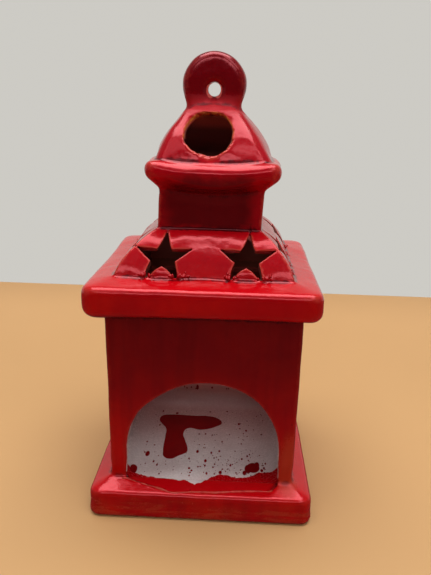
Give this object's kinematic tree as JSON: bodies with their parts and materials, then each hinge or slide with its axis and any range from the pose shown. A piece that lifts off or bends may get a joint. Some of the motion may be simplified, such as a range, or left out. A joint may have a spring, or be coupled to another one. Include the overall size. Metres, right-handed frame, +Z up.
{
  "type": "ceramic tealight lantern",
  "caption": "Square ceramic tealight lantern with an arched doorway, star-pierced shoulders, a vented dome cap and a loop to hang it by.",
  "frame": {"origin": "middle of the foot, on the surface that the lantern stands on", "axes": "+Z up; the arched doorway and the dome's vent face -Y; +X to the right, seen from the doorway's side"},
  "size_m": [0.1, 0.1, 0.1998],
  "materials": {
    "red_glaze": "glossy red glaze over earthenware",
    "white_glaze": "glossy white glaze over earthenware"
  },
  "bodies": {
    "root": {"base_plinth": "red_glaze", "chamber_floor": "white_glaze", "front_wall": "red_glaze", "right_wall": "red_glaze", "back_wall": "red_glaze", "left_wall": "red_glaze", "eaves_slab": "red_glaze", "shoulder_front": "red_glaze", "shoulder_right": "red_glaze", "shoulder_back": "red_glaze", "shoulder_left": "red_glaze", "chimney_neck": "red_glaze", "cap_cornice": "red_glaze", "cap_dome": "red_glaze", "hanging_loop": "red_glaze"}
  },
  "joints": []
}
